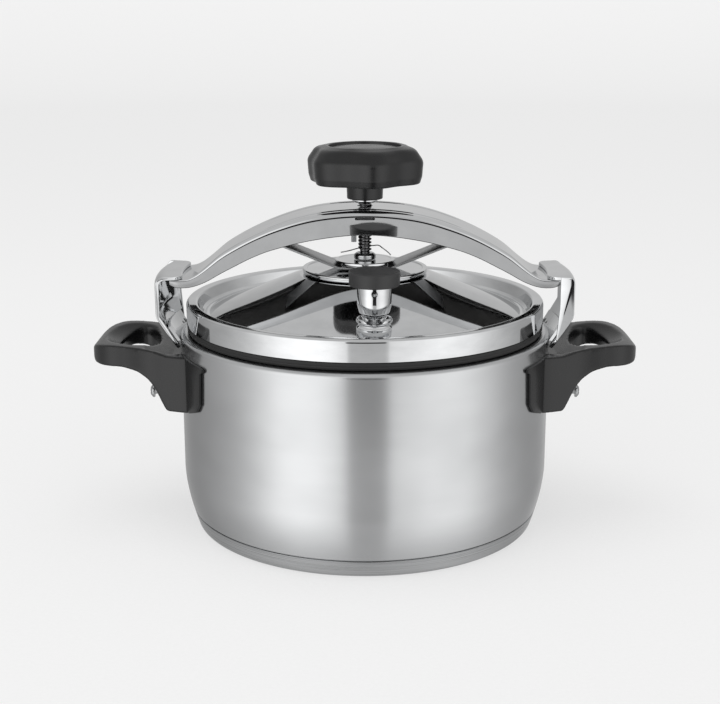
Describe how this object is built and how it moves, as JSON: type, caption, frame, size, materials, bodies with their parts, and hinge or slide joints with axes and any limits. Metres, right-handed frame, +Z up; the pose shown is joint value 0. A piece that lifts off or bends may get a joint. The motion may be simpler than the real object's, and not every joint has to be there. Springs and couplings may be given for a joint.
{
  "type": "pressure canner",
  "caption": "Large round stainless pressure canner with side loop handles, a domed lid held by a bow clamp with a lobed screw knob, and a capped weight valve.",
  "frame": {"origin": "centre of the flat underside of the base cup", "axes": "+Z up; X runs through the two side handles and along the bow; -Y is the side of the lid with the weight valve"},
  "size_m": [0.48, 0.322, 0.331],
  "materials": {
    "pot_steel": "satin polished stainless steel",
    "mirror_steel": "mirror polished stainless steel",
    "plain_steel": "plain sheet and turned steel",
    "bakelite": "black satin phenolic",
    "seal_rubber": "black moulded rubber",
    "core_aluminium": "plain aluminium disc, hidden in the base"
  },
  "bodies": {
    "pot": {"pot_shell": "pot_steel", "base_cup": "pot_steel", "base_core": "core_aluminium", "lug_left": "plain_steel", "lug_right": "plain_steel", "handle_bracket_left": "plain_steel", "handle_bracket_right": "plain_steel", "handle_left": "bakelite", "handle_right": "bakelite", "handle_screw_left": "plain_steel", "handle_screw_right": "plain_steel"},
    "closure": {"lid_shell": "mirror_steel", "gasket": "seal_rubber", "centre_plate": "mirror_steel", "brace_strap": "plain_steel", "strap_rivet_left": "plain_steel", "strap_rivet_right": "plain_steel", "clamp_disc": "mirror_steel", "clip_wire": "plain_steel", "bow_arch": "mirror_steel", "claw_left": "mirror_steel", "claw_right": "mirror_steel", "bow_nut": "plain_steel", "vent_seat": "mirror_steel", "vent_pipe": "plain_steel", "vent_washer": "seal_rubber", "vent_nut": "plain_steel", "safety_seal": "seal_rubber", "safety_body": "plain_steel", "safety_nut": "plain_steel", "safety_spring": "plain_steel"},
    "foot": {"screw_foot": "plain_steel"},
    "knob": {"screw_spindle": "plain_steel", "knob_collar": "mirror_steel", "knob": "bakelite", "knob_disc": "bakelite"},
    "weight": {"weight_body": "mirror_steel", "weight_cap": "bakelite"},
    "pin": {"safety_pin": "plain_steel"}
  },
  "joints": [
    {"name": "closure_turn", "type": "hinge", "parent": "pot", "child": "closure", "pos_m": [0, 0, 0.198], "axis": [0, 0, -1], "range_deg": [0, 90]},
    {"name": "screw_lift", "type": "slide", "parent": "closure", "child": "foot", "axis": [0, 0, 1], "range_m": [0, 0.0061]},
    {"name": "knob_turn", "type": "hinge", "parent": "foot", "child": "knob", "pos_m": [0, 0, 0.3], "axis": [0, 0, 1], "range_deg": [0, 720]},
    {"name": "weight_lift", "type": "slide", "parent": "closure", "child": "weight", "axis": [0, 0, 1], "range_m": [0, 0.03]},
    {"name": "safety_pin_lift", "type": "slide", "parent": "closure", "child": "pin", "axis": [0, 0, 1], "range_m": [0, 0.003], "stiffness_N_per_m": 600, "springref_m": -0.0005, "deforming": ["safety_spring"]}
  ],
  "couplings": [
    {"joint": "screw_lift", "follows": "knob_turn", "m_per_rad": 0.00047746}
  ]
}
